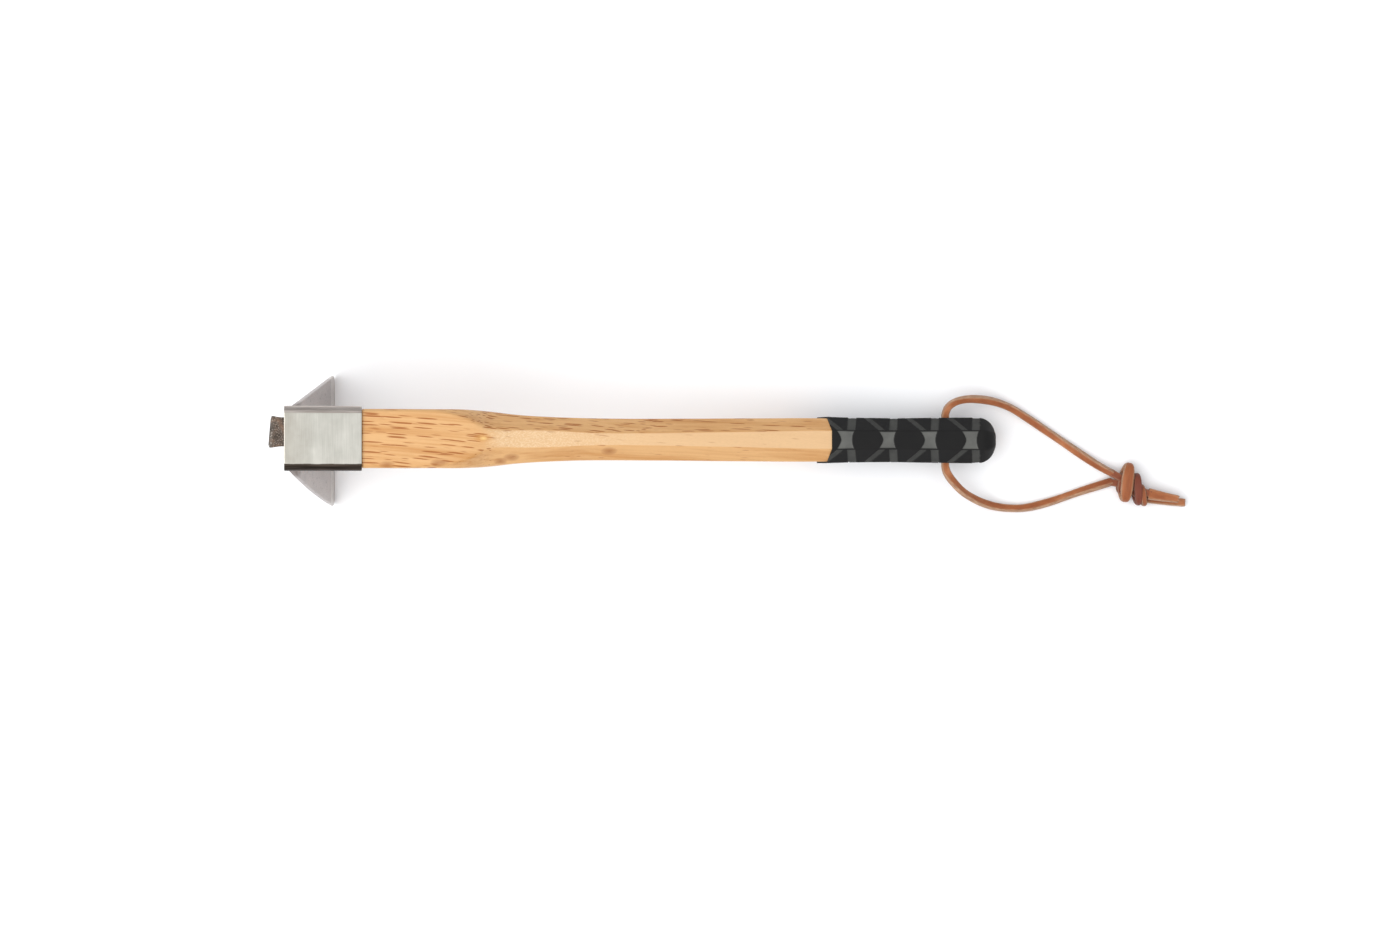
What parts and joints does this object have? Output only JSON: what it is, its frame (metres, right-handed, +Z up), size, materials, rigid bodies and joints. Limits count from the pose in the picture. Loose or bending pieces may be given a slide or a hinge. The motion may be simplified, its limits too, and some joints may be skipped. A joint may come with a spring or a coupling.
{
  "type": "rock hammer",
  "caption": "Hand digging hammer: fan-shaped steel blade on a rectangular collar, wedged octagonal wooden handle, rubber grip sleeve and knotted leather wrist lanyard.",
  "frame": {"origin": "bottom centre of the tool's bounding box without its lanyard, on the surface it lies on", "axes": "+X from the head along the handle towards the butt, +Y across the blade, +Z up; the handle's axis slopes down 11.1 degrees towards the butt"},
  "size_m": [0.491, 0.0759, 0.1051],
  "materials": {
    "stainless_collar": "brushed",
    "blade_steel": "ground satin",
    "weld_metal": "raw weld bead",
    "wedge_steel": "hammered, slightly rusted",
    "handle_wood": "clear varnish",
    "wedge_wood": "sawn",
    "grip_rubber": "matt with raised pads",
    "lace_leather": "oiled lace"
  },
  "bodies": {
    "hammer": {"collar": "stainless_collar", "blade": "blade_steel", "weld_bead_front": "weld_metal", "weld_bead_rear": "weld_metal", "steel_wedge": "wedge_steel", "wood_wedge": "wedge_wood", "handle": "handle_wood", "grip_sleeve": "grip_rubber"},
    "lanyard": {"lanyard_bight": "lace_leather", "lanyard_strand_upper": "lace_leather", "lanyard_strand_lower": "lace_leather", "lanyard_knot": "lace_leather", "lanyard_tail_short": "lace_leather", "lanyard_tail_long": "lace_leather"}
  },
  "joints": [
    {"name": "lanyard_swing", "type": "hinge", "parent": "hammer", "child": "lanyard", "pos_m": [0.16434, 0, 0.01749], "axis": [0, 1, 0], "range_deg": [-160, 145]}
  ]
}
